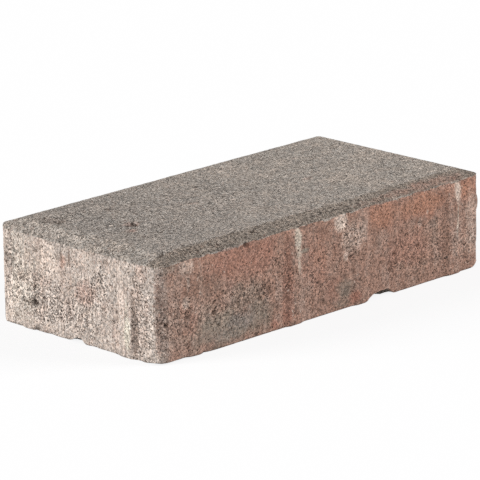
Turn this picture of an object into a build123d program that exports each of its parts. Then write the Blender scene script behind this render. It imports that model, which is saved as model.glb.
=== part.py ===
from build123d import *
import math
import os

os.makedirs("parts", exist_ok=True)

# A rectangular concrete paving stone, cast in one piece, in millimetres. X runs along the stone,
# Y across it and Z up. The origin is the middle of the underside.

# The body, without its spacer ribs
length = 198.0
width = 98.0
thickness = 45.0
corner_radius = 5.0  # the upright corners, as the mould leaves them

# The chamfer round the top is a little wider and deeper across the two ends
side_chamfer_width = 7.5
side_chamfer_drop = 2.5
end_chamfer_width = 8.5
end_chamfer_drop = 3.2

# Spacer ribs, cast on all four sides, keep the joint open between one stone and the next
rib_width = 12.0  # at the root
rib_crest_width = 5.0  # at the crest, so that both flanks have a wide draft
rib_proud = 1.0  # how far the crest stands out
rib_spread = 59.0  # between the two ribs that face one neighbour's end
rib_clear_of_chamfer = 0.5  # from the chamfer's lower edge down to the rib's top
rib_lead_in = 3.5  # height of the slope at the rib's top
rib_root_depth = 2.0  # how far the root reaches into the body

# Chips broken out of the bottom edges: length along the edge and height up the face
front_chip_place = 34.5  # along X
front_chip_chord = 16.0
front_chip_height = 2.8
end_chip_place = 1.5  # along Y
end_chip_chord = 10.5
end_chip_height = 1.6
corner_chip_chord = 9.0
corner_chip_height = 2.2

# Sizes that follow from these
joint = 2 * rib_proud  # two facing ribs touch, so the joint is both of them
neighbour_pitch = (length + joint) / 2  # two neighbours stand side by side along the long side
half_length = length / 2
half_width = width / 2
corner_inset = corner_radius * (1 - math.sqrt(0.5))  # from the square corner in to the round one


def chamfered_section(span, chamfer_width, chamfer_drop):
    """The face of a cut through the body: upright sides, with a slope at each top corner."""
    half = span / 2
    shoulder = thickness - chamfer_drop
    outline = [
        (-half, 0),
        (half, 0),
        (half, shoulder),
        (half - chamfer_width, thickness),
        (-half + chamfer_width, thickness),
        (-half, shoulder),
    ]
    return make_face(Polyline(*outline, close=True))


def body():
    """The block: the cross section and the long section meet in mitred chamfers, inside the plan."""
    across = Plane.YZ * chamfered_section(width, side_chamfer_width, side_chamfer_drop)
    along = Plane.XZ * chamfered_section(length, end_chamfer_width, end_chamfer_drop)
    plan = RectangleRounded(length, width, corner_radius)
    bar_along_x = extrude(across, amount=half_length, both=True)
    bar_along_y = extrude(along, amount=half_width, both=True)
    return bar_along_x & bar_along_y & extrude(plan, amount=thickness)


def rib(shoulder):
    """One spacer rib below a chamfer's lower edge: root on the XZ plane, crest towards -Y."""
    top = shoulder - rib_clear_of_chamfer
    plan = [
        (-rib_width / 2, rib_root_depth),
        (-rib_width / 2, 0),
        (-rib_crest_width / 2, -rib_proud),
        (rib_crest_width / 2, -rib_proud),
        (rib_width / 2, 0),
        (rib_width / 2, rib_root_depth),
    ]
    profile = [
        (rib_root_depth, 0),
        (-rib_proud, 0),
        (-rib_proud, top - rib_lead_in),
        (0, top),
        (rib_root_depth, top),
    ]
    upright = extrude(make_face(Polyline(*plan, close=True)), amount=top)
    side_view = Plane.YZ * make_face(Polyline(*profile, close=True))
    return upright & extrude(side_view, amount=rib_width / 2, both=True)


def ribs():
    """Four ribs along each long side and two on each end, so that facing stones meet rib to rib."""
    side_rib = rib(thickness - side_chamfer_drop)
    end_rib = rib(thickness - end_chamfer_drop)
    placed = []
    for step in (-rib_spread / 2, rib_spread / 2):
        for neighbour in (-neighbour_pitch / 2, neighbour_pitch / 2):
            placed.append(Location((neighbour + step, -half_width, 0)) * side_rib)
            placed.append(Location((neighbour + step, half_width, 0), (0, 0, 180)) * side_rib)
        placed.append(Location((half_length, step, 0), (0, 0, 90)) * end_rib)
        placed.append(Location((-half_length, step, 0), (0, 0, -90)) * end_rib)
    return placed


def chip(chord, height):
    """A shell-shaped chip: the ball that takes this chord off an edge and this height off its faces."""
    stand_off = (chord**2 / 4 - height**2) / (2 * height)
    radius = math.sqrt(2 * stand_off**2 + chord**2 / 4)
    return Location((0, -stand_off, -stand_off)) * Sphere(radius)


def chips():
    """The three chips: on the near long side, on the near end and at the long side's far corner."""
    front = Location((front_chip_place, -half_width, 0))
    end = Location((-half_length, end_chip_place, 0), (0, 0, -90))
    corner = Location((half_length - corner_inset, -half_width + corner_inset, 0), (0, 0, 45))
    return [
        front * chip(front_chip_chord, front_chip_height),
        end * chip(end_chip_chord, end_chip_height),
        corner * chip(corner_chip_chord, corner_chip_height),
    ]


def paving_stone():
    stone = body()
    for one in ribs():
        stone += one
    for one in chips():
        stone -= one
    return stone


export_step(paving_stone().solid(), "parts/paving_stone.step")
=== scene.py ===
import functools
import itertools
import math

import bpy
import numpy as np
from mathutils import Matrix, Vector
from mathutils.geometry import delaunay_2d_cdt


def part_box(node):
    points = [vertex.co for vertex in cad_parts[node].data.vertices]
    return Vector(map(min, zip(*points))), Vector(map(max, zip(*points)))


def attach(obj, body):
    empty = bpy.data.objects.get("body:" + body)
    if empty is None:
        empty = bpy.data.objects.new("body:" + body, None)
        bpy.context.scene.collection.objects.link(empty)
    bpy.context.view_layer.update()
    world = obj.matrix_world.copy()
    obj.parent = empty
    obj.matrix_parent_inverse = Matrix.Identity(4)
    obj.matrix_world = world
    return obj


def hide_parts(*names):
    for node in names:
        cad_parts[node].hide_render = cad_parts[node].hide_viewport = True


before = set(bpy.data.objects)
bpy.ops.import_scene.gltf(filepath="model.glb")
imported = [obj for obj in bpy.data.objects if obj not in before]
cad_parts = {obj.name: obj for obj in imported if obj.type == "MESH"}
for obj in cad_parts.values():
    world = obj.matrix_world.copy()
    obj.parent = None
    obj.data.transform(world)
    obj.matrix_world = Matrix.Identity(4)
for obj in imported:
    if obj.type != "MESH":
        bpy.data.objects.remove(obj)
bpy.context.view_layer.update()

# The stone's sizes in millimetres, as the construction has them
MM = 0.001
RIB_PROUD = 1.0
RIB_CREST_HALF = 2.5
RIB_ROOT_HALF = 6.0
RIB_SPREAD = 59.0
RIB_LEAD_IN = 3.5
RIB_CLEAR_OF_CHAMFER = 0.5
CORNER_RADIUS = 5.0
SIDE_CHAMFER_WIDTH = 7.5
SIDE_CHAMFER_DROP = 2.5
END_CHAMFER_WIDTH = 8.5
END_CHAMFER_DROP = 3.2
_, node_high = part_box("paving_stone")
HALF_LENGTH = node_high.x / MM - RIB_PROUD
HALF_WIDTH = node_high.y / MM - RIB_PROUD
THICKNESS = node_high.z / MM
NEIGHBOUR_PITCH = HALF_LENGTH + RIB_PROUD

# The surface mesh: how far apart its points lie
TOP_PITCH = 0.78
SIDE_PITCH = 0.76
UNDERSIDE_PITCH = 1.5


# Noise, worked out for many points at once

# Large numbers that only mix the bits of a cell's place
MIX_PLACE = (374761393, 668265263, 2147483647)
MIX_SEED = 1274126177
MIX_BITS = (1103515245, 69069)


def smoothstep(low, high, value):
    """0 below low, 1 above high and a smooth rise between; high may be the smaller one."""
    t = np.clip((value - low) / (high - low), 0, 1)
    return t * t * (3 - 2 * t)


def scramble(cell, seed):
    """A repeatable random number from 0 to 1 for each whole-numbered cell."""
    mixed = (cell.astype(np.int64) * MIX_PLACE).sum(axis=-1) + seed * MIX_SEED
    mixed = (mixed ^ (mixed >> 13)) * MIX_BITS[0]
    mixed = (mixed ^ (mixed >> 16)) * MIX_BITS[1]
    return ((mixed ^ (mixed >> 15)) & 0xFFFFFF) / float(0x1000000)


def value_noise(places, seed):
    """Smooth noise from -1 to 1 with one random value at each whole-numbered place."""
    base = np.floor(places)
    t = places - base
    t = t * t * (3 - 2 * t)
    total = np.zeros(len(places))
    for corner in itertools.product((0, 1), repeat=3):
        weight = np.prod(np.where(corner, t, 1 - t), axis=1)
        total += weight * scramble(base + corner, seed)
    return total * 2 - 1


def fractal(places, size, octaves, seed):
    """Noise whose largest features are about size millimetres, with finer ones on top."""
    total = np.zeros(len(places))
    reach = 0.0
    for octave in range(octaves):
        weight = 0.5**octave
        total += weight * value_noise(places * (2.03**octave / size) + 17.3 * octave, seed + octave)
        reach += weight
    return total / reach


def scattered(places, size, seed):
    """The distance to the nearest of scattered spots, in spot sizes, and that spot's own number."""
    scaled = places / size
    base = np.floor(scaled)
    nearest = np.full(len(places), np.inf)
    own_number = np.zeros(len(places))
    for step in itertools.product((-1, 0, 1), repeat=3):
        cell = base + step
        spot = cell + np.stack([scramble(cell, seed + axis) for axis in range(3)], axis=1)
        distance = np.linalg.norm(scaled - spot, axis=1)
        closer = distance < nearest
        nearest = np.where(closer, distance, nearest)
        own_number = np.where(closer, scramble(cell, seed + 7), own_number)
    return nearest, own_number


# The block's shape before it is roughened

FRONT, RIGHT, BACK, LEFT = range(4)
OUTWARD = {FRONT: (0, -1), RIGHT: (1, 0), BACK: (0, 1), LEFT: (-1, 0)}


def spaced(breaks, pitch):
    """Coordinates through all the breaks, in even steps of about the pitch between them."""
    places = [breaks[0]]
    for low, high in zip(breaks, breaks[1:]):
        steps = max(1, round((high - low) / pitch))
        places += list(np.linspace(low, high, steps + 1)[1:])
    return np.array(places)


def chamfer_spaced(half, chamfer_width):
    """Coordinates from one side of the top to the other, with one on each chamfer's upper edge."""
    return spaced([-half, chamfer_width - half, half - chamfer_width, half], TOP_PITCH)


def rib_places(neighbours):
    """Where the ribs stand that face these neighbouring stones."""
    return sorted(middle + step for middle in neighbours for step in (-RIB_SPREAD / 2, RIB_SPREAD / 2))


SIDE_RIBS = rib_places((-NEIGHBOUR_PITCH / 2, NEIGHBOUR_PITCH / 2))
END_RIBS = rib_places((0.0,))


def past_corner_centre(x, y):
    """How far a place is past the middle of its corner's rounding, along each axis."""
    return np.abs(x) - (HALF_LENGTH - CORNER_RADIUS), np.abs(y) - (HALF_WIDTH - CORNER_RADIUS)


def round_corners(x, y):
    """Pulls the square plan's corners in to the mould's radius."""
    a, b = past_corner_centre(x, y)
    corner = (a > 0) & (b > 0)
    pull = np.where(corner, np.maximum(a, b) / np.maximum(np.hypot(a, b), 1e-9), 1.0)
    new_x = np.where(corner, np.sign(x) * (HALF_LENGTH - CORNER_RADIUS + a * pull), x)
    new_y = np.where(corner, np.sign(y) * (HALF_WIDTH - CORNER_RADIUS + b * pull), y)
    return new_x, new_y


def upper_surface(x, y):
    """Height of the top and its four chamfers over a point of the plan."""
    from_side = SIDE_CHAMFER_DROP * (1 - (HALF_WIDTH - np.abs(y)) / SIDE_CHAMFER_WIDTH)
    from_end = END_CHAMFER_DROP * (1 - (HALF_LENGTH - np.abs(x)) / END_CHAMFER_WIDTH)
    return THICKNESS - np.maximum(0, np.maximum(from_side, from_end))


def rib_relief(along, ribs, height, shoulder):
    """How far the spacer ribs stand out at a place along a face and a height up it."""
    nearest = np.min([np.abs(along - rib) for rib in ribs], axis=0)
    flank = smoothstep(RIB_ROOT_HALF, RIB_CREST_HALF, nearest)
    rib_top = shoulder - RIB_CLEAR_OF_CHAMFER
    return RIB_PROUD * flank * smoothstep(rib_top, rib_top - RIB_LEAD_IN, height)


# The upper surface is a grid. Its border, read anticlockwise from the near left corner, tops the walls.
xs = chamfer_spaced(HALF_LENGTH, END_CHAMFER_WIDTH)
ys = chamfer_spaced(HALF_WIDTH, SIDE_CHAMFER_WIDTH)
nx, ny = len(xs) - 1, len(ys) - 1
grid_x, grid_y = round_corners(*np.meshgrid(xs, ys, indexing="ij"))
upper = np.stack([grid_x, grid_y, upper_surface(grid_x, grid_y)], axis=2).reshape(-1, 3)
upper_index = np.arange(len(upper)).reshape(nx + 1, ny + 1)
border = np.concatenate([
    upper_index[:-1, 0],
    upper_index[-1, :-1],
    upper_index[:0:-1, -1],
    upper_index[0, :0:-1],
])
wall_of = np.repeat([FRONT, RIGHT, BACK, LEFT], [nx, ny, nx, ny])
columns = len(border)

# The walls are rows of points under that border, down to the underside
rows = round(THICKNESS / SIDE_PITCH)
rim = upper[border]
wall = np.zeros((rows, columns, 3))
wall[:, :, :2] = rim[:, :2]
wall[:, :, 2] = np.linspace(0, 1, rows + 1)[:-1, None] * rim[:, 2]
side_relief = rib_relief(wall[:, :, 0], SIDE_RIBS, wall[:, :, 2], rim[:, 2])
end_relief = rib_relief(wall[:, :, 1], END_RIBS, wall[:, :, 2], rim[:, 2])
for face, (out_x, out_y) in OUTWARD.items():
    on_face = wall_of == face
    relief = side_relief if out_y else end_relief
    wall[:, on_face, 0] += out_x * relief[:, on_face]
    wall[:, on_face, 1] += out_y * relief[:, on_face]
wall_index = len(upper) + np.arange(rows * columns).reshape(rows, columns)

# The underside is a coarser net of triangles inside the lowest row
inner_x, inner_y = np.meshgrid(
    spaced([UNDERSIDE_PITCH - HALF_LENGTH, HALF_LENGTH - UNDERSIDE_PITCH], UNDERSIDE_PITCH),
    spaced([UNDERSIDE_PITCH - HALF_WIDTH, HALF_WIDTH - UNDERSIDE_PITCH], UNDERSIDE_PITCH),
    indexing="ij",
)
inner = np.stack([inner_x.ravel(), inner_y.ravel()], axis=1)
corner_reach = np.hypot(*(np.maximum(0, past) for past in past_corner_centre(inner[:, 0], inner[:, 1])))
inner = inner[corner_reach < CORNER_RADIUS - UNDERSIDE_PITCH / 2]
net_points = [Vector(p) for p in np.concatenate([wall[0, :, :2], inner])]
net = delaunay_2d_cdt(net_points, [(i, (i + 1) % columns) for i in range(columns)], [], 1, 1e-6)
assert len(net[0]) == len(net_points)
under = np.array([(p.x, p.y, 0.0) for p in net[0]])[columns:]
under_index = np.concatenate([wall_index[0], len(upper) + wall_index.size + np.arange(len(under))])

points = np.concatenate([upper, wall.reshape(-1, 3), under])
ON_TOP, ON_WALL, UNDER_SIDE = range(3)
part_of = np.repeat([ON_TOP, ON_WALL, UNDER_SIDE], [len(upper), wall_index.size, len(under)])

# Faces, all seen from outside
top_quads = np.stack([
    upper_index[:-1, :-1], upper_index[1:, :-1], upper_index[1:, 1:], upper_index[:-1, 1:],
], axis=2).reshape(-1, 4)
stacked = np.concatenate([wall_index, border[None, :]])
beside = np.roll(stacked, -1, axis=1)
wall_quads = np.stack([stacked[:-1], beside[:-1], beside[1:], stacked[1:]], axis=2).reshape(-1, 4)
quads = np.concatenate([top_quads, wall_quads])
triangles = under_index[np.array([f[::-1] for f in net[2]])]


def borders(polygons):
    """The pairs of points that each polygon's sides join, the smaller number first."""
    return np.sort(np.stack([polygons, np.roll(polygons, -1, axis=1)], axis=2).reshape(-1, 2), axis=1)


edges = np.unique(np.concatenate([borders(quads), borders(triangles)]), axis=0)


def smoothed(places, passes):
    """Each point moved half of the way to the middle of its neighbours, which rounds the edges."""
    count = np.bincount(edges.ravel(), minlength=len(places))[:, None]
    for _ in range(passes):
        total = np.zeros_like(places)
        np.add.at(total, edges[:, 0], places[edges[:, 1]])
        np.add.at(total, edges[:, 1], places[edges[:, 0]])
        places = places + 0.5 * (total / count - places)
    return places


def outward_normals(places):
    """The surface's direction at each point, from the faces round it."""
    total = np.zeros_like(places)
    a, b, c, d = (places[quads[:, k]] for k in range(4))
    facing = np.cross(c - a, d - b)
    for k in range(4):
        np.add.at(total, quads[:, k], facing)
    a, b, c = (places[triangles[:, k]] for k in range(3))
    facing = np.cross(b - a, c - a)
    for k in range(3):
        np.add.at(total, triangles[:, k], facing)
    return total / np.linalg.norm(total, axis=1)[:, None]


EDGE_ROUNDING_PASSES = 2
BASE_SHARPNESS = 0.95  # the share of that rounding which the base edge is spared
BASE_BAND = (2.2, 0.6)  # between these heights the rounding fades out
sharp = points
points = smoothed(points, EDGE_ROUNDING_PASSES)
points += BASE_SHARPNESS * smoothstep(*BASE_BAND, sharp[:, 2])[:, None] * (sharp - points)
normals = outward_normals(points)
x, y, z = points.T
on_top = part_of == ON_TOP
on_wall = part_of == ON_WALL
under_side = part_of == UNDER_SIDE
on_front = on_wall & (y < -HALF_WIDTH + CORNER_RADIUS / 2)
on_left = on_wall & (x < -HALF_LENGTH + CORNER_RADIUS / 2) & ~on_front

# Places on the faces, for stains, for painted light and shade, and for pits. Each is a middle, a half size
# along X, Y and Z, and a strength or a depth.
THROUGH = 8.0  # a place reaches this deep, so that it stays on its own face


def front(along, height, half_along, half_height, strength):
    """A place on the near long side."""
    return (along, -HALF_WIDTH, height), (half_along, THROUGH, half_height), strength


def left(along, height, half_along, half_height, strength):
    """A place on the near end."""
    return (-HALF_LENGTH, along, height), (THROUGH, half_along, half_height), strength


def top(along, across, half_along, half_across, strength):
    """A place on the top."""
    return (along, across, THICKNESS), (half_along, half_across, THROUGH), strength


def stain_and_light_patches(places, seed, ragged=0.38, grain=6.0):
    """0 to 1 over the surface: each place's strength in its middle, fading over a ragged border."""
    total = np.zeros(len(points))
    warp = ragged * fractal(points, grain, 3, seed)
    for middle, half_size, strength in places:
        distance = np.linalg.norm((points - middle) / half_size, axis=1) + warp
        own_face = on_top == (middle[2] == THICKNESS)
        total = np.maximum(total, strength * own_face * smoothstep(1.3, 0.3, distance))
    return total


# The sides that the camera doesn't see are coloured by broad noise instead of single stains
unseen_wall = on_wall & (y > -HALF_WIDTH + THROUGH) & (x > -HALF_LENGTH + THROUGH)
drift = fractal(points * (1, 1, 1.6), 42.0, 4, 900)
other_drift = fractal(points * (1, 1, 1.2), 30.0, 4, 940)
small_drift = fractal(points, 5.0, 3, 960)

# How rosy the wall is before its stains: the long sides are, and the ends are a paler buff
side_share = smoothstep(HALF_LENGTH - 1.0, HALF_LENGTH - 6.0, np.abs(x))
side_rosy = np.where(y < 0, 1.0, 0.75)
end_rosy = np.where(x < 0, 0.15 * smoothstep(8, 26, z) - 0.05, 0.45)
rosy = side_rosy * side_share + end_rosy * (1 - side_share)
rosy *= 1 - 0.35 * smoothstep(-HALF_LENGTH + 18, -HALF_LENGTH, x) * side_share

# Iron-red stains
rust = stain_and_light_patches([
    front(-52, 35, 27, 12, 0.68), front(-37, 37, 11, 9, 0.72), front(-24.5, 16, 4, 30, 0.62),
    front(-25, 5, 4.5, 6, 0.75), front(-32, 2.5, 4, 3, 0.75), front(-5, 24, 15, 18, 0.5),
    front(3, 10, 8, 8, 0.5), front(16, 4, 4.5, 3.5, 0.9), front(35, 36, 14, 10, 0.8),
    front(60, 36, 20, 9, 0.8), front(50, 18, 22, 13, 0.5), front(90, 37, 8, 7, 0.8),
    front(77, 38, 6, 6, 0.6), front(-81, 14, 4, 7, 0.5), front(-73, 3, 6, 2.5, 0.6),
    front(58, 28, 6, 5, 0.5),
    left(-5, 22, 9, 8, 0.5), left(9, 33.5, 3, 5, 0.5), left(-2, 35, 7, 10, 0.3),
    left(-38, 38, 6, 8, 0.40), left(-15, 30, 6, 6, 0.15), left(-47.5, 24, 2.5, 26, 0.45),
    top(-75, -8, 5, 3.5, 0.55), top(-28, 3, 4, 3, 0.45), top(34, -5, 5, 3, 0.45),
    top(60, -47, 44, 5, 0.60), top(20, -45, 14, 5, 0.25), top(-68, 0, 5, 4, 0.5),
], 11)
unseen_rust = 0.8 * smoothstep(-0.5, 0.6, drift + 0.3 * small_drift)
rust = np.where(unseen_wall, np.maximum(rust, unseen_rust), rust)

# The share of orange in the rust
orange = stain_and_light_patches([
    front(35, 36, 15, 10, 0.65), front(60, 37, 24, 9, 0.75), front(90, 37, 8, 7, 0.7),
    front(0, 30, 12, 12, 0.35), front(-74, 41, 9, 4, 0.5), front(68, 24, 9, 10, 0.35),
    left(5, 35, 10, 9, 0.7), left(-36, 38, 9, 8, 0.5), left(-3, 36, 7, 7, 0.4),
], 23)

# Grey cement over the red
ash = stain_and_light_patches([
    front(-60, 8, 26, 11, 0.85), front(-44, 9, 13, 11, 0.8), front(-48, 19, 15, 9, 0.6),
    front(-70, 16, 11, 9, 0.5), front(11, 8, 7, 6, 0.75), front(9, 3, 7, 3, 0.6),
    front(-13.5, 31, 4, 1.6, 1.0), front(-92, 12, 10, 16, 0.35), front(-94, 41, 6, 3.5, 0.6),
    front(58, 8, 16, 7, 0.30), front(67, 22, 8, 9, 0.35), front(3, 20, 9, 6, 0.3),
    front(46, 11, 6, 4, 0.4),
    left(41, 32, 10, 15, 0.35), left(30, 22, 14, 8, 0.3), left(18, 12, 24, 8, 0.25),
], 37)
unseen_ash = 0.9 * smoothstep(-0.1, 0.8, other_drift + 0.5 * small_drift)
ash = np.where(unseen_wall, np.maximum(ash, unseen_ash), ash)

# The share of blue in the ash
blue = stain_and_light_patches([
    front(-52, 10, 9, 5, 0.5), front(-60, 5, 13, 4, 0.2),
    left(14, 11, 14, 6, 0.2),
], 41)

# Lime that has come out of the concrete, and painted light: the lighter far right of the long side, the
# left part of the near end, a highlight on the crest of the near end's rib and the near end's chamfer
lime_and_painted_light = stain_and_light_patches([
    front(8.8, 38.2, 5.6, 6, 0.85), front(83, 37.5, 3.6, 8, 0.85), front(6.5, 39, 3, 3, 0.6),
    front(16, 31, 11, 12, 0.55), front(11.5, 23, 2.2, 3.5, 0.6), front(-83.5, 39, 5.5, 5.5, 0.55),
    front(-82, 39.5, 2, 3, 0.6), front(-83.3, 32, 1.2, 5, 0.65), front(-84.5, 24, 3.4, 4.5, 0.65),
    # front(84, ...) and front(92, ...) are painted light on the far right of the long side
    front(84, 12, 12, 14, 0.36), front(44.5, 41.6, 1.8, 0.9, 0.8), front(92, 22, 6, 24, 0.46),
    front(58.5, 28, 2, 3, 0.5), front(63.5, 32, 1, 1.5, 0.6),
    # left(46.5, ...) here and left(41, ...) below are painted light on the left part of the near end
    left(18, 32, 9, 12, 0.6), left(12.5, 30, 4, 7, 0.5), left(46.5, 24, 3.5, 26, 0.5),
    left(28, 4, 32, 4, 0.4), left(41, 12, 8, 14, 0.55), left(41, 36, 8, 8, 0.3),
    # left(-27, ...) is a painted highlight on the crest of the near end's rib
    left(-27, 24, 5, 28, 0.45), left(2, 36, 5, 8, 0.3), left(-3, 36, 8, 8, 0.35),
    left(-41, 9, 6, 8, 0.35), left(28, 34, 8, 8, 0.4),
    top(17, 31, 3, 2, 0.6), top(34, 16, 3, 2, 0.6), top(-12, -5, 2.5, 2, 0.6),
    # top(-95, ...) is painted light on the near end's chamfer
    top(-76, 4, 1.6, 1.2, 0.9), top(-95, 18, 6, 34, 0.42),
], 53, ragged=0.28)

# Upright streaks of greenish lime, which on the back run down the ribs' crests; in front the same streaks
# also paint the highlight on the ribs' lit flanks and crests
lime_streak_and_highlight = stain_and_light_patches([
    # front(-18, ...), front(-17.8, ...) and front(83, ...) are also a painted highlight on the lit right
    # flanks of the long side's ribs
    front(-18, 36, 3.2, 10, 0.68), front(-17.8, 26, 2.0, 9, 0.5), front(83, 25, 1.3, 10, 0.6),
    # left(-30.3, ...), left(-30.0, ...) and left(-25, ...) are also a painted highlight on the near end's
    # rib
    left(-30.3, 10, 2.3, 12, 0.8), left(-30.0, 21, 1.4, 9, 0.5), left(36, 22, 20, 30, 0.42),
    left(-25, 25, 1.5, 18, 0.2),
], 67, ragged=0.35, grain=2.0)
from_crest = np.min([np.abs(x - rib) for rib in SIDE_RIBS], axis=0)
broken = smoothstep(0.0, 0.4, fractal(points * (1, 1, 0.35), 9.0, 3, 71))
back_streak = 0.8 * smoothstep(2.4, 0.8, from_crest) * broken
lime_streak_and_highlight = np.where(on_wall & (y > HALF_WIDTH - THROUGH), back_streak, lime_streak_and_highlight)

# Dark patches: dirt, and painted shade: the shadow beside the near end's rib and the shade on the near
# rounded corner
dirt_and_shade = stain_and_light_patches([
    # front(-97, ...) is painted shade on the near rounded corner
    front(-24.5, 22, 3.5, 24, 0.35), front(76, 15, 2.2, 18, 0.35), front(-97, 22, 4.5, 28, 0.30),
    front(40, 12, 8, 6, 0.30), front(72, 24, 9, 11, 0.15), front(-94, 42, 6, 2, 0.5),
    front(-49, 42, 4, 2, 0.5), front(-30, 30, 5, 5, 0.35), front(88, 30, 9, 1.4, 0.45),
    front(-76, 12, 4, 8, 0.25), front(-88, 8, 12, 10, 0.25), front(-70, 29, 16, 11, 0.43),
    front(2, 12, 12, 11, 0.25), front(-6, 26, 10, 9, 0.18), front(26, 12, 10, 9, 0.15),
    front(-92, 30, 9, 12, 0.12),
    left(46, 30, 6, 10, 0.36), left(5.2, 36, 1.0, 5, 0.75), left(4.6, 28, 0.9, 4, 0.62),
    left(5.6, 20, 1.1, 5, 0.45), left(10, 36, 1.0, 2.5, 0.6), left(10, 34, 2, 4.5, 0.35),
    # left(-34.5, ...) and left(-36.5, ...) are the painted shadow beside the near end's rib
    left(-34.5, 12, 2.4, 17, 0.55), left(-36.5, 28, 3.0, 13, 0.40), left(-40, 38, 6, 7, 0.30),
    # left(-47, ...) is painted shade on the near rounded corner
    left(-14, 29.5, 4, 4, 0.45), left(-47, 22, 3.0, 28, 0.45), left(33, 22, 7, 3.5, 0.4),
    left(28, 12, 5, 3, 0.4),
    top(-86, 27, 6, 9, 0.45), top(-80, -45, 24, 4, 0.34), top(-60, 20, 8, 4, 0.2),
    top(-40, -25, 6, 4, 0.25), top(-80, 10, 10, 8, 0.12), top(-70, -18, 14, 6, 0.15),
    top(-52, 27, 8, 5, 0.2),
], 79)

# Where the concrete is open and grains are missing
porous = stain_and_light_patches([
    front(-50, 19, 34, 10, 0.8), front(-88, 16, 12, 15, 0.6), front(14, 28, 10, 10, 0.6),
    front(66, 14, 30, 14, 0.5), front(-10, 14, 16, 13, 0.4), front(41, 13, 9, 8, 0.7),
    front(-30, 28, 8, 8, 0.5),
    left(24, 15, 26, 11, 1.0), left(2, 12, 14, 9, 0.9), left(-8, 22, 12, 8, 0.8),
    left(-14, 30, 5, 5, 0.9), left(-38, 16, 9, 20, 0.7), left(40, 30, 9, 8, 0.6),
    top(-84, 28, 12, 10, 0.8), top(-72, 5, 26, 34, 0.55), top(-30, 10, 30, 30, 0.3),
    top(-60, -45, 40, 6, 0.5), top(10, -45, 50, 6, 0.35),
], 83, ragged=0.7)
unseen_porous = 0.8 * smoothstep(-0.1, 0.5, drift - other_drift)
porous = np.where(unseen_wall, np.maximum(porous, unseen_porous), porous)
porous = np.where(under_side, 1.0, porous)

# The top is darker towards its left end, inside the end's chamfer, and along the near chamfer
chamfer_inside = END_CHAMFER_WIDTH - HALF_LENGTH
shade = smoothstep(70, -60, x + 10 * drift) * smoothstep(chamfer_inside - 1, chamfer_inside + 2, x)
skirt_edge = y + HALF_WIDTH - SIDE_CHAMFER_WIDTH + 0.9 * fractal(points, 5.0, 3, 89)
skirt = on_top * smoothstep(1.2, -1.2, skirt_edge)

# Roughening: every move is along the surface's own normal, in millimetres, and mostly inwards
GRAIN_DEPTH_TOP = 0.10
GRAIN_DEPTH_BELOW = 0.20
GRAIN_DEPTH_EXTRA_UNDER = 0.15
GRAIN_DEPTH_EXTRA_POROUS = 0.10
DRAG_DEPTH = 0.18
SWELL_DEPTH_WALL = 0.16
SWELL_DEPTH_TOP = 0.05
FAR_END_DRAW = 0.3  # the walls draw in by this much towards the far end
SMALL_PIT_SPACING = 2.8
SMALL_PIT_DEPTH = 0.55
COARSE_PIT_SPACING = 7.5
COARSE_PIT_DEPTH = 0.9

stretched = points * (1, 1, 0.45)  # the mould's walls drag the grain upright
grain = fractal(np.where(on_wall[:, None], stretched, points), 1.9, 2, 101)
swell = fractal(points, 17.0, 2, 131)
drag = fractal(points * (1, 1, 0.12), 2.6, 2, 151)
frayed = points + 0.5 * np.stack([fractal(points, 1.4, 2, 161 + 3 * axis) for axis in range(3)], axis=1)
from_small, small_number = scattered(frayed, SMALL_PIT_SPACING, 171)
from_coarse, coarse_number = scattered(frayed, COARSE_PIT_SPACING, 191)

grain_depth = np.where(on_top, GRAIN_DEPTH_TOP, GRAIN_DEPTH_BELOW)
grain_depth = grain_depth + GRAIN_DEPTH_EXTRA_UNDER * under_side + GRAIN_DEPTH_EXTRA_POROUS * porous
move = grain_depth * (grain - 0.2)
wall_move = DRAG_DEPTH * drag + SWELL_DEPTH_WALL * swell - FAR_END_DRAW * smoothstep(60, 95, x)
move += np.where(on_wall, wall_move, SWELL_DEPTH_TOP * swell)
small_pit = smoothstep(0.42, 0.12, from_small) * (small_number < 0.08 + 0.25 * porous)
coarse_pit = smoothstep(0.20, 0.06, from_coarse) * (coarse_number < 0.02 + 0.10 * porous * on_wall)
move -= SMALL_PIT_DEPTH * small_pit * (0.5 + 0.5 * porous) + COARSE_PIT_DEPTH * coarse_pit
# How dark each pit is painted: painted shade in the hollow, with some dirt
pit_shade_and_dirt = np.maximum(small_pit * (0.20 + 0.35 * porous), 0.65 * coarse_pit)

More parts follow.
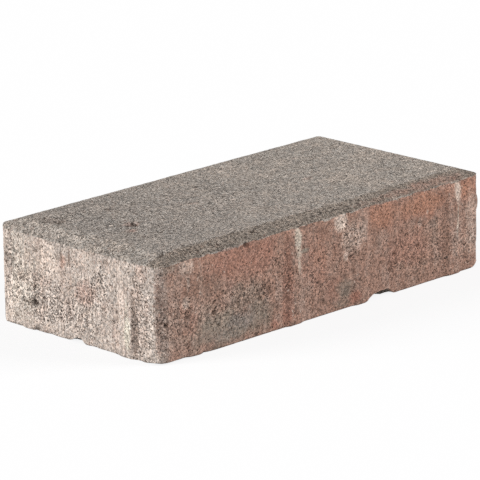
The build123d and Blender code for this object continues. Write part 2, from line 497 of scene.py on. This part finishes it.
# Single pits that show: middle, half width and depth
PITS = [
    front(-95.3, 16.6, 1.8, 1.6, 1.9), front(-84.3, 17.8, 1.2, 1.0, 0.7),
    front(-95.5, 6.3, 1.2, 0.9, 0.9), front(-41, 16, 1.4, 1.6, 1.0), front(-48, 18, 1.2, 1.2, 0.8),
    front(-39, 24, 1.3, 1.2, 0.9), front(-35.5, 19, 1.1, 1.1, 0.8), front(-68, 16, 1.1, 1.1, 0.9),
    front(-68, 20.5, 1.2, 1.0, 0.9), front(-64, 25, 1.1, 1.0, 0.7), front(-49, 41, 1.7, 1.4, 1.1),
    front(-5, 25, 1.2, 1.2, 0.8), front(12.8, 26.3, 1.1, 1.0, 0.9), front(81, 14.5, 1.3, 1.0, 1.0),
    front(88.3, 6, 1.0, 1.0, 0.9), front(41.5, 17, 1.1, 1.0, 0.9), front(43.5, 14, 1.2, 1.0, 0.9),
    front(39, 11, 1.2, 1.0, 0.9), front(19.5, 11, 1.0, 1.0, 0.8), front(58, 28, 1.0, 0.9, 0.8),
    front(57, 18, 1.0, 1.0, 0.7), front(-43.5, 1, 1.5, 1.0, 1.0), front(-75.5, 0, 3.0, 1.0, 1.0),
    front(-77.5, 15, 1.0, 1.4, 0.7),
    left(34, 21, 1.3, 1.1, 0.9), left(25, 35, 1.1, 1.1, 0.8), left(36, 14, 1.3, 1.2, 1.0),
    left(34, 11.7, 1.1, 1.2, 1.0), left(26.5, 12.3, 1.9, 1.5, 1.3), left(21, 15, 1.2, 1.0, 0.9),
    left(12.8, 10, 1.0, 1.0, 1.0), left(11.3, 8, 1.4, 1.3, 1.3), left(6.3, 15.5, 1.1, 1.1, 0.9),
    left(-21, 13.5, 1.2, 1.4, 1.2), left(40, 28, 2.2, 1.0, 0.8), left(-8.7, 23, 1.0, 1.3, 0.8),
    left(0, 20, 1.3, 1.0, 0.8), left(-23, 18, 1.0, 1.4, 0.8), left(-22, 33, 1.1, 1.1, 0.7),
    left(4.4, 23.5, 0.8, 1.1, 0.5), left(5.3, 38.5, 0.6, 1.2, 0.35), left(4.5, 33, 0.6, 1.1, 0.3),
    left(-33.5, 22, 0.9, 1.4, 0.7), left(25, 0.6, 1.8, 1.0, 0.9), left(5, 9, 0.9, 0.9, 0.7),
    top(-67.5, -0.5, 3.8, 3.2, 2.4), top(-73, 2, 2.4, 1.8, 1.3), top(-86, 24, 2.8, 1.8, 1.1),
    top(-80, 27.5, 2.6, 1.6, 0.9), top(-90, 30, 1.6, 1.6, 0.8), top(-57.5, 23.5, 2.4, 1.6, 0.9),
    top(-52.5, 26.5, 2.2, 1.4, 0.8), top(-49, 29.5, 1.6, 1.2, 0.7), top(-62, 10, 2.8, 1.5, 0.8),
    top(-8, 22, 3.4, 1.4, 0.8), top(-12, 1, 1.8, 1.1, 0.9), top(-68, -18, 2.2, 1.6, 1.0),
    top(-78, -18, 2.0, 1.6, 0.9), top(-84, 42, 2.4, 1.8, 1.1), top(-79, 42.5, 1.3, 1.3, 0.6),
    top(-55, 42, 1.9, 1.4, 0.6), top(-14, 42, 2.2, 1.4, 0.7), top(4, 42, 1.7, 1.3, 0.5),
    top(52, 42, 1.6, 1.2, 0.5), top(-62, -11, 1.5, 1.1, 0.8), top(70, -16, 1.5, 1.1, 0.7),
    top(73, -26, 1.5, 1.1, 0.7), top(-91, -42, 2.6, 1.5, 0.9), top(-40, -44, 1.8, 1.2, 0.9),
    top(-88, 33, 2.0, 1.4, 0.7), top(20, -10, 1.2, 0.9, 0.5),
]

# Crumbs that stand out: middle, half size and height
CRUMBS = [
    ((97.5, -47.5, 29.0), (2.5, 2.5, 3.2), 0.55),
    front(-83.3, 32, 1.0, 4.5, 0.5),
    front(46, 42.3, 1.4, 0.8, 0.4),
]
pit_warp = 0.75 * fractal(points, 2.0, 3, 211) + 0.1
for middle, half_size, depth in PITS:
    from_middle = np.linalg.norm((points - middle) / half_size, axis=1) + pit_warp
    move -= depth * smoothstep(1.2, 0.35, from_middle)
    # deeper pits are painted darker, as painted shade
    pit_shade_and_dirt = np.maximum(pit_shade_and_dirt, min(1, 0.55 + 0.25 * depth) * smoothstep(1.2, 0.45, from_middle))
for middle, half_size, height in CRUMBS:
    from_middle = np.linalg.norm((points - middle) / half_size, axis=1) + pit_warp
    move += height * smoothstep(1.2, 0.4, from_middle)

# The lower edges are ragged, the left end's most of all, and the front's keeps closest to its line
BITE_DEPTH_LEFT = 0.35
BITE_DEPTH_ELSEWHERE = 0.06
BITE_HEIGHT = 2.4
bite = smoothstep(0.0, 0.55, fractal(points * (1, 1, 0.5), 4.2, 3, 231))
move *= 1 - 0.6 * on_front * smoothstep(2.5, 0.5, z)
bite_depth = np.where(on_left, BITE_DEPTH_LEFT, BITE_DEPTH_ELSEWHERE)
move -= bite_depth * on_wall * bite * smoothstep(BITE_HEIGHT, 0.0, z)

# The shoulder under the chamfer is a little worn
WEAR_DEPTH = 0.7
WEAR_REACH = 2.4
shoulder = np.minimum(THICKNESS - SIDE_CHAMFER_DROP, upper_surface(x, y))
at_rim = np.maximum(np.abs(x) - HALF_LENGTH, np.abs(y) - HALF_WIDTH) > -2.0
worn = smoothstep(WEAR_REACH, 0.0, np.abs(z - shoulder)) * at_rim
move -= WEAR_DEPTH * worn * smoothstep(-0.1, 0.6, fractal(points, 4.2, 3, 251))

STANDS_LEVEL = 0.7  # the share of its roughness that the underside loses
points = points + normals * move[:, None]
points[:, 2] -= STANDS_LEVEL * (points[:, 2] - sharp[:, 2]) * (sharp[:, 2] < 0.1)

# The near corner's lower edge is rubbed away a little, so light shows under it
CORNER_LIFT = 0.75
CORNER_RUN_ALONG = 34.0
CORNER_RUN_ACROSS = 9.0
EDGE_BAND = 9.0
LIFTED_HEIGHT = 5.0
from_left_end = points[:, 0] + HALF_LENGTH
from_front = points[:, 1] + HALF_WIDTH
from_corner = np.hypot(from_left_end / CORNER_RUN_ALONG, from_front / CORNER_RUN_ACROSS)
from_edge = np.minimum(from_front, from_left_end)
lift = CORNER_LIFT * smoothstep(1.0, 0.35, from_corner) * smoothstep(EDGE_BAND, 0.0, from_edge)
points[:, 2] += lift * smoothstep(LIFTED_HEIGHT, 0.0, points[:, 2])

# Chips broken out of the lower edges: under each, a rough vault rises from inside the stone to the face
DIAGONAL = math.sqrt(0.5)
CORNER_INSET = CORNER_RADIUS * (1 - DIAGONAL)
FAR_CORNER = (HALF_LENGTH - CORNER_INSET, CORNER_INSET - HALF_WIDTH)
CHIPS = [  # place on the edge, outward direction, length, height, run of each slope, depth at each end
    ((31.8, -HALF_WIDTH), (0, -1), 20.3, 2.8, (11.0, 4.5), (16.0, 2.5)),
    ((-HALF_LENGTH, 1.0), (-1, 0), 11.5, 1.9, (6.0, 4.5), (2.5, 5.0)),
    (FAR_CORNER, (DIAGONAL, -DIAGONAL), 10.0, 2.2, (4.0, 4.0), (9.0, 9.0)),
]
chip_noise = 0.35 * fractal(points * (1, 1, 0.3), 2.2, 3, 271)
for (edge_x, edge_y), (out_x, out_y), chord, height, runs, depths in CHIPS:
    from_edge_x = points[:, 0] - edge_x
    from_edge_y = points[:, 1] - edge_y
    along = from_edge_x * -out_y + from_edge_y * out_x
    inward = np.maximum(0, -(from_edge_x * out_x + from_edge_y * out_y))
    depth = depths[0] + (depths[1] - depths[0]) * smoothstep(-0.1 * chord, 0.2 * chord, along)
    rise = smoothstep(-chord / 2, runs[0] - chord / 2, along)
    rise *= smoothstep(chord / 2, chord / 2 - runs[1], along)
    rounding = np.sqrt(np.clip(1 - (inward / depth) ** 2, 0, 1))
    vault = (height * rise + chip_noise * (rise > 0.1)) * rounding
    points[:, 2] = np.maximum(points[:, 2], vault)

LIMIT = np.array((HALF_LENGTH + RIB_PROUD, HALF_WIDTH + RIB_PROUD, THICKNESS))
points = np.clip(points, -LIMIT * (1, 1, 0), LIMIT)

faces = [tuple(f) for f in quads.tolist()] + [tuple(f) for f in triangles.tolist()]
mesh = bpy.data.meshes.new("stone")
mesh.from_pydata(points * MM, [], faces)
mesh.validate()
mesh.shade_smooth()
stone = bpy.data.objects.new("stone", mesh)
bpy.context.scene.collection.objects.link(stone)
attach(stone, "root")
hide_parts("paving_stone")

# Masks for the material, one number for each point of the mesh
wavy = np.where(on_left, 0.4, 2.1) * fractal(points, 9.0, 3, 301)
jagged = np.where(on_left, 0.2, 0.5) * fractal(points, 2.2, 2, 311)
rim_height = np.zeros(len(points))
rim_height[wall_index] = rim[:, 2]
wall_skin = np.where(on_wall, smoothstep(-1.4, -0.2, z - rim_height + (wavy + jagged)), 0.0)
MASKS = {
    "skin": np.where(on_top, 1.0, wall_skin),
    "shade": shade,
    "rosy": rosy,
    "rust": rust,
    "orange": orange,
    "ash": ash,
    "blue": blue,
    "lime_and_painted_light": lime_and_painted_light,
    "lime_streak_and_highlight": lime_streak_and_highlight,
    "dirt_and_shade": dirt_and_shade,
    "skirt": skirt,
    "porous": porous,
    "pit_shade_and_dirt": pit_shade_and_dirt,
    "under": under_side,
    "drawn": np.where(on_wall, 0.35 + 0.65 * (1 - side_share), 0.0),
}
for name, values in MASKS.items():
    clipped = np.clip(values.astype(float), 0, 1)
    mesh.attributes.new(name, "FLOAT", "POINT").data.foreach_set("value", clipped.astype(np.float32))

# The map for the baked textures: every face at one scale, the top and the underside stacked, and the
# sides round them
MAP_GAP = 3.0
length_run = 2 * HALF_LENGTH
width_run = 2 * HALF_WIDTH
border_steps = np.diff(np.vstack([rim, rim[:1]])[:, :2], axis=0)
girth = np.concatenate([[0], np.cumsum(np.linalg.norm(border_steps, axis=1))])
above = 2 * (width_run + MAP_GAP)
MAP_PLACES = {  # where each wall's strip starts, and whether it stands upright
    FRONT: (length_run + MAP_GAP, 0.0, True),
    BACK: (0.0, above, False),
    LEFT: (0.0, above + THICKNESS + MAP_GAP, False),
    RIGHT: (width_run + MAP_GAP, above + THICKNESS + MAP_GAP, False),
}
map_size = above + 2 * (THICKNESS + MAP_GAP)


def wall_strips():
    """The place on the map of every corner of the walls' faces, in millimetres."""
    column = np.tile(np.arange(columns), rows)
    run = np.stack([girth[column], girth[column + 1], girth[column + 1], girth[column]], axis=1)
    height = np.linspace(0, 1, rows + 1)[:, None] * rim[:, 2]
    low, high = height[:-1], height[1:]
    beside_low, beside_high = (np.roll(edge, -1, axis=1) for edge in (low, high))
    up = np.stack([low, beside_low, beside_high, high], axis=2).reshape(-1, 4)
    owner = np.tile(wall_of, rows)
    strip = np.zeros((len(owner), 4, 2))
    for face, (start_u, start_v, stands) in MAP_PLACES.items():
        on_face = owner == face
        along = run[on_face] - girth[np.argmax(wall_of == face)]
        pair = (up[on_face], along) if stands else (along, up[on_face])
        strip[on_face] = np.stack(pair, axis=2) + (start_u, start_v)
    return strip.reshape(-1, 2)


plan = points[:, :2] + (HALF_LENGTH, HALF_WIDTH)
under_plan = plan[triangles.ravel()] + (0, width_run + MAP_GAP)
bake_map = np.concatenate([plan[top_quads.ravel()], wall_strips(), under_plan]) / map_size
uv_layer = mesh.uv_layers.new(name="OFBake")
uv_layer.data.foreach_set("uv", bake_map.astype(np.float32).ravel())


# The concrete's material

class Nodes:
    """Short calls for making and joining the nodes of a material or the world."""

    def __init__(self, owner):
        owner.use_nodes = True
        self.tree = owner.node_tree
        self.shader = self.tree.nodes.get("Principled BSDF")

    def add(self, kind, **inputs):
        """A node, with its named inputs set or joined."""
        node = self.tree.nodes.new(kind)
        for name, value in inputs.items():
            self.feed(node.inputs[name.replace("_", " ")], value)
        return node

    def feed(self, socket, value):
        """Joins a socket to another node's, or sets it."""
        if isinstance(value, bpy.types.NodeSocket):
            self.tree.links.new(value, socket)
        else:
            socket.default_value = value

    def operate(self, kind, operation, values, clamp=False):
        """A calculation with numbers or vectors."""
        node = self.tree.nodes.new(kind)
        node.operation = operation
        if clamp:
            node.use_clamp = True
        for socket, value in zip(node.inputs, values):
            self.feed(socket, value)
        return node.outputs[0]

    def math(self, operation, *values, clamp=False):
        return self.operate("ShaderNodeMath", operation, values, clamp)

    def vector(self, operation, *values):
        return self.operate("ShaderNodeVectorMath", operation, values)

    def total(self, *values):
        return functools.reduce(lambda a, b: self.math("ADD", a, b), values)

    def product(self, *values):
        return functools.reduce(lambda a, b: self.math("MULTIPLY", a, b), values)

    def straight(self, value, slope, start=0.0):
        """A straight-line function of a number."""
        return self.math("MULTIPLY_ADD", value, slope, start)

    def stretch(self, value, low, high, to_low=0.0, to_high=1.0):
        """A number brought from low..high to to_low..to_high, smooth at both ends."""
        node = self.add("ShaderNodeMapRange", Value=value)
        node.interpolation_type = "SMOOTHSTEP"
        for socket, number in zip(list(node.inputs)[1:5], (low, high, to_low, to_high)):
            socket.default_value = number
        return node.outputs[0]

    def mask(self, name):
        """One of the mesh's masks."""
        node = self.add("ShaderNodeAttribute")
        node.attribute_name = name
        return node.outputs["Fac"]

    def noise(self, place, size, detail=2.0, roughness=0.55):
        """Noise with features of about size millimetres."""
        node = self.add("ShaderNodeTexNoise", Vector=place, Scale=1 / size, Detail=detail)
        node.inputs["Roughness"].default_value = roughness
        return node.outputs["Fac"]

    def spots(self, place, size):
        """Scattered grains: the distance to the nearest, and three random numbers of its own."""
        node = self.add("ShaderNodeTexVoronoi", Vector=place, Scale=1 / size)
        split = self.add("ShaderNodeSeparateColor", Color=node.outputs["Color"])
        return node.outputs["Distance"], split.outputs["Red"], split.outputs["Green"], split.outputs["Blue"]

    def mix(self, share, first, second, blend="MIX"):
        """Two colours mixed by a share of the second."""
        node = self.tree.nodes.new("ShaderNodeMix")
        node.data_type = "RGBA"
        node.blend_type = blend
        sockets = [s for s in node.inputs if s.enabled]
        for socket, value in zip(sockets, (share, first, second)):
            self.feed(socket, value)
        return next(s for s in node.outputs if s.enabled)

    def tinted(self, colour_in, tint):
        """A colour multiplied by another one."""
        return self.mix(1.0, colour_in, tint, "MULTIPLY")

    def grey(self, value):
        return self.add("ShaderNodeCombineColor", Red=value, Green=value, Blue=value).outputs[0]


def colour(red, green, blue):
    """A colour written as it looks on a screen, 0 to 255, made linear."""
    return tuple(((c / 255 + 0.055) / 1.055) ** 2.4 for c in (red, green, blue)) + (1.0,)


CEMENT_TOP = colour(147, 140, 133)
CEMENT_TOP_WARM = colour(152, 142, 133)
CEMENT_SHADE = colour(131, 125, 120)
SKIRT_GREY = colour(127, 117, 108)
WALL_BUFF = colour(178, 166, 157)
WALL_ROSE = colour(155, 124, 110)
RUST_RED = colour(160, 117, 102)
RUST_ORANGE = colour(174, 128, 105)
ASH_GREY = colour(134, 123, 112)
ASH_BLUE = colour(143, 137, 134)
# also the colour of painted light
LIME_AND_PAINTED_LIGHT_WHITE = colour(222, 206, 193)
# also the colour of painted highlights on the ribs
LIME_AND_HIGHLIGHT_GREEN = colour(208, 203, 188)
# also the colour of painted shade
DIRT_AND_SHADE_BROWN = colour(96, 76, 64)
# also the colour of painted shade in pores and pits
PORE_SHADE_AND_DIRT_BROWN = colour(58, 47, 41)
UNDER_GREY = colour(128, 120, 112)
WARM_TINT = (1.05, 0.99, 0.94, 1.0)
COOL_TINT = (0.97, 1.005, 1.03, 1.0)

# Sizes in millimetres of the noise and the grains
BROAD = 26.0
BLOTCH = 6.0
MOTTLE = 2.6
FINE = 0.7
SAND = 0.56
GRIT = 1.35
FRAY = 1.25
FRAY_REACH = 2.0
BUMP_DEPTH = 0.4
DRAGGED = 1.3
BAND = 5.0
BROAD_SPAN = (0.38, 0.62)  # noise is rarely outside these
FINE_SPAN = (0.3, 0.7)

material = bpy.data.materials.new("concrete")
n = Nodes(material)
where = n.add("ShaderNodeTexCoord").outputs["Object"]
place = n.vector("MULTIPLY", where, (1 / MM, 1 / MM, 1 / MM))
upright_drag = n.vector("MULTIPLY", place, (1.0, 1.0, 0.12))
upright_grain = n.vector("MULTIPLY", place, (1.0, 1.0, 0.85))

broad = n.noise(place, BROAD, 3.0)
blotch = n.noise(place, BLOTCH, 3.0)
mottle = n.noise(place, MOTTLE)
fine = n.noise(place, FINE, 2.0, 0.6)
dragged = n.noise(upright_drag, DRAGGED, 1.0)
dragged = n.math("MULTIPLY_ADD", n.math("SUBTRACT", dragged, 0.5), n.mask("drawn"), 0.5)
banded = n.noise(upright_drag, BAND)
tone = n.straight(n.total(broad, blotch), 0.5)
fray = n.add("ShaderNodeTexNoise", Vector=place, Scale=1 / FRAY, Detail=1.0).outputs["Color"]
frayed_grain = n.vector("MULTIPLY_ADD", fray, (FRAY_REACH, FRAY_REACH, FRAY_REACH), upright_grain)
sand_distance, sand_one, sand_two, sand_three = n.spots(upright_grain, SAND)
grit_distance, grit_one, grit_two, grit_three = n.spots(frayed_grain, GRIT)


def speckled(mask, share=1.0):
    """Stains, painted light and painted shade alike: every grain takes them to a different degree, so that
    they never look painted on.
    """
    even = n.straight(n.mask(mask), 1.45 * share)
    uneven = n.total(n.straight(n.total(sand_two, fine), 0.2), n.straight(mottle, 0.3))
    return n.math("SUBTRACT", even, uneven, clamp=True)


def pores(share, own_number, distance, rim_at, middle_at):
    """1 in the middle of the grains whose own number is below the share, with a ragged rim."""
    ragged = n.total(distance, n.math("SUBTRACT", fine, 0.5))
    return n.product(n.math("LESS_THAN", own_number, share), n.stretch(ragged, rim_at, middle_at))


# The walls: rose to buff, with rust, ash, lime, painted light and painted highlights over it
wall_tone = n.total(n.straight(tone, 0.65), n.straight(banded, 0.35))
rosiness = n.math("ADD", n.mask("rosy"), n.stretch(wall_tone, *BROAD_SPAN, -0.22, 0.22), clamp=True)
wall_colour = n.mix(rosiness, WALL_BUFF, WALL_ROSE)
wall_colour = n.mix(speckled("rust"), wall_colour, n.mix(n.mask("orange"), RUST_RED, RUST_ORANGE))
wall_colour = n.mix(speckled("ash"), wall_colour, n.mix(n.mask("blue"), ASH_GREY, ASH_BLUE))
# Lime, with painted light and a painted highlight on the near end's rib
wall_colour = n.mix(speckled("lime_and_painted_light", 0.85), wall_colour, LIME_AND_PAINTED_LIGHT_WHITE)
# Lime streaks, with painted highlights on the ribs
wall_colour = n.mix(speckled("lime_streak_and_highlight", 0.9), wall_colour, LIME_AND_HIGHLIGHT_GREEN)

# The top and its chamfers: a grey cement skin that ends raggedly at the shoulder
top_colour = n.mix(n.stretch(tone, *BROAD_SPAN), CEMENT_TOP, CEMENT_TOP_WARM)
mottling = n.product(n.stretch(mottle, *FINE_SPAN, 0.88, 1.12), n.stretch(tone, *BROAD_SPAN, 0.95, 1.05))
top_colour = n.tinted(top_colour, n.grey(mottling))
top_colour = n.mix(n.straight(n.mask("shade"), 0.45), top_colour, CEMENT_SHADE)
top_colour = n.mix(speckled("skirt", 1.2), top_colour, SKIRT_GREY)
top_colour = n.mix(speckled("rust", 0.8), top_colour, RUST_RED)
# Lime, and painted light on the near end's chamfer
top_colour = n.mix(speckled("lime_and_painted_light", 0.8), top_colour, LIME_AND_PAINTED_LIGHT_WHITE)
ragged_skin = n.total(n.mask("skin"), n.straight(n.math("SUBTRACT", fine, 0.5), 0.9))
body_colour = n.mix(n.stretch(ragged_skin, 0.35, 0.65), wall_colour, top_colour)
body_colour = n.mix(n.mask("under"), body_colour, UNDER_GREY)
# Dirt, with painted shade beside the near end's rib and on the near rounded corner
body_colour = n.mix(speckled("dirt_and_shade"), body_colour, DIRT_AND_SHADE_BROWN)

# Grains: each one lighter or darker, warmer or cooler, and some of them white or red
grain_tone = n.product(
    n.stretch(sand_one, 0.0, 1.0, 0.54, 1.57),
    n.stretch(grit_one, 0.0, 1.0, 0.90, 1.10),
    n.stretch(dragged, *FINE_SPAN, 0.83, 1.19),
    n.stretch(fine, *FINE_SPAN, 0.86, 1.16),
)
contrast = n.total(n.straight(n.mask("porous"), 0.5), n.stretch(n.mask("skin"), 0.0, 1.0, 0.82, 1.12))
grain_tone = n.math("MULTIPLY_ADD", n.math("SUBTRACT", grain_tone, 1.0), contrast, 1.0)
body_colour = n.tinted(body_colour, n.grey(grain_tone))
body_colour = n.tinted(body_colour, n.mix(sand_three, WARM_TINT, COOL_TINT))
white_grain = n.product(n.stretch(grit_two, 0.925, 0.935), n.stretch(grit_distance, 0.38, 0.22), 0.5)
body_colour = n.mix(white_grain, body_colour, LIME_AND_PAINTED_LIGHT_WHITE)
red_grain = n.product(n.stretch(grit_two, 0.075, 0.065), n.stretch(grit_distance, 0.42, 0.25), 0.35)
body_colour = n.mix(red_grain, body_colour, RUST_RED)

# Pores: dark where grains are missing, more of them and larger where the wall is porous. The dark in the
# pores and pits is painted shade in the hollows, with some dirt
small_share = n.straight(n.mask("porous"), 0.17, 0.09)
large_share = n.total(n.straight(n.mask("porous"), 0.32), n.stretch(n.mask("skin"), 0.0, 1.0, 0.05, 0.16))
small_pore = pores(small_share, sand_three, sand_distance, 0.55, 0.25)
large_pore = pores(large_share, grit_three, grit_distance, 0.40, 0.12)
pore = n.math("MAXIMUM", small_pore, large_pore)
pore_shade_and_dirt = n.product(n.math("MAXIMUM", pore, n.stretch(n.mask("pit_shade_and_dirt"), 0.1, 1.0)), 0.9)
body_colour = n.mix(pore_shade_and_dirt, body_colour, PORE_SHADE_AND_DIRT_BROWN)

relief_height = n.total(n.straight(fine, 0.5), n.straight(sand_distance, -0.5), n.straight(pore, -0.9))
bump = n.add("ShaderNodeBump", Height=relief_height, Strength=1.0, Distance=BUMP_DEPTH * MM)
n.feed(n.shader.inputs["Base Color"], body_colour)
n.feed(n.shader.inputs["Normal"], bump.outputs[0])
n.feed(n.shader.inputs["Roughness"], n.stretch(fine, 0.2, 0.8, 0.84, 0.97))
n.shader.inputs["Specular IOR Level"].default_value = 0.25
mesh.materials.append(material)

# Camera at the photograph's viewing angle: a long lens, turned a little about its own axis
CAMERA_AZIMUTH = -45.013
CAMERA_ELEVATION = 16.112
CAMERA_ROLL = -0.863
CAMERA_DISTANCE = 1636.3
CAMERA_AIM = (0.0, 0.0, 25.0)
CAMERA_STEP_RIGHT = -2.274
CAMERA_STEP_UP = -1.694
FOCAL_PIXELS = 3778.4
IMAGE_PIXELS = 480.0
SENSOR = 36.0

camera_data = bpy.data.cameras.new("camera")
camera_data.sensor_width = SENSOR
camera_data.lens = FOCAL_PIXELS * SENSOR / IMAGE_PIXELS
camera_data.clip_start = 0.05
camera_data.clip_end = 50.0
camera = bpy.data.objects.new("camera", camera_data)
bpy.context.scene.collection.objects.link(camera)
azimuth, elevation, roll = (math.radians(a) for a in (CAMERA_AZIMUTH, CAMERA_ELEVATION, CAMERA_ROLL))
back = Vector((
    math.sin(azimuth) * math.cos(elevation),
    -math.cos(azimuth) * math.cos(elevation),
    math.sin(elevation),
))
level = Vector((0, 0, 1)).cross(back).normalized()
upright = back.cross(level)
right = level * math.cos(roll) + upright * math.sin(roll)
up = upright * math.cos(roll) - level * math.sin(roll)
eye = Vector(CAMERA_AIM) + back * CAMERA_DISTANCE + right * CAMERA_STEP_RIGHT + up * CAMERA_STEP_UP
camera.matrix_world = Matrix.Translation(eye * MM) @ Matrix((right, up, back)).transposed().to_4x4()
bpy.context.scene.camera = camera


def seen_rays(nodes):
    """1 for the rays that see the surroundings, 0 for those that only carry light."""
    path = nodes.add("ShaderNodeLightPath").outputs
    indirectly = nodes.math("MAXIMUM", path["Is Glossy Ray"], path["Is Transmission Ray"])
    return nodes.math("MAXIMUM", path["Is Camera Ray"], indirectly)


# A floor that the camera sees as white, with the stone's soft shadow, and that throws back less light
FLOOR_HALF = 6.0
FLOOR_LEVEL = -0.1 * MM  # a hair below the underside, so that the two never coincide
FLOOR_WHITE = (0.96, 0.96, 0.96, 1.0)
FLOOR_BOUNCE = (0.50, 0.50, 0.50, 1.0)
FLOOR_GLOW = 0.85
floor_mesh = bpy.data.meshes.new("floor")
corner_signs = ((-1, -1), (1, -1), (1, 1), (-1, 1))
floor_corners = [(sign_x * FLOOR_HALF, sign_y * FLOOR_HALF, FLOOR_LEVEL) for sign_x, sign_y in corner_signs]
floor_mesh.from_pydata(floor_corners, [], [(0, 1, 2, 3)])
floor = bpy.data.objects.new("floor", floor_mesh)
bpy.context.scene.collection.objects.link(floor)
floor_material = bpy.data.materials.new("floor")
f = Nodes(floor_material)
floor_seen = seen_rays(f)
f.feed(f.shader.inputs["Base Color"], f.mix(floor_seen, FLOOR_BOUNCE, FLOOR_WHITE))
f.shader.inputs["Roughness"].default_value = 1.0
f.shader.inputs["Specular IOR Level"].default_value = 0.0
glow = f.add("ShaderNodeEmission", Color=(1, 1, 1, 1), Strength=1.0)
blend = f.add("ShaderNodeMixShader")
blend_inputs = (f.math("MULTIPLY", floor_seen, FLOOR_GLOW), f.shader.outputs[0], glow.outputs[0])
for socket, value in zip(blend.inputs, blend_inputs):
    f.feed(socket, value)
f.feed(f.tree.nodes["Material Output"].inputs["Surface"], blend.outputs[0])
floor_mesh.materials.append(floor_material)

# An even white sky, a soft lamp behind the left end and a weaker one at the front right
SKY_STRENGTH = 0.32
LAMPS = [  # name, direction towards it, strength, softness in degrees
    ("left lamp", (-0.83, 0.43, 0.35), 3.15, 30),
    ("right lamp", (0.60, -0.66, 0.45), 2.35, 30),
]
world = bpy.data.worlds.new("studio")
bpy.context.scene.world = world
sky = Nodes(world)
background = sky.tree.nodes["Background"]
background.inputs["Color"].default_value = (1, 1, 1, 1)
sky.feed(background.inputs["Strength"], sky.straight(seen_rays(sky), 1 - SKY_STRENGTH, SKY_STRENGTH))
for name, towards, strength, softness in LAMPS:
    lamp_data = bpy.data.lights.new(name, "SUN")
    lamp_data.energy = strength
    lamp_data.angle = math.radians(softness)
    lamp = bpy.data.objects.new(name, lamp_data)
    lamp.rotation_mode = "QUATERNION"
    lamp.rotation_quaternion = Vector(towards).to_track_quat("Z", "Y")
    bpy.context.scene.collection.objects.link(lamp)

bpy.context.scene.view_settings.view_transform = "Standard"
bpy.context.scene.cycles.use_denoising = False  # the denoiser smears the concrete's grain
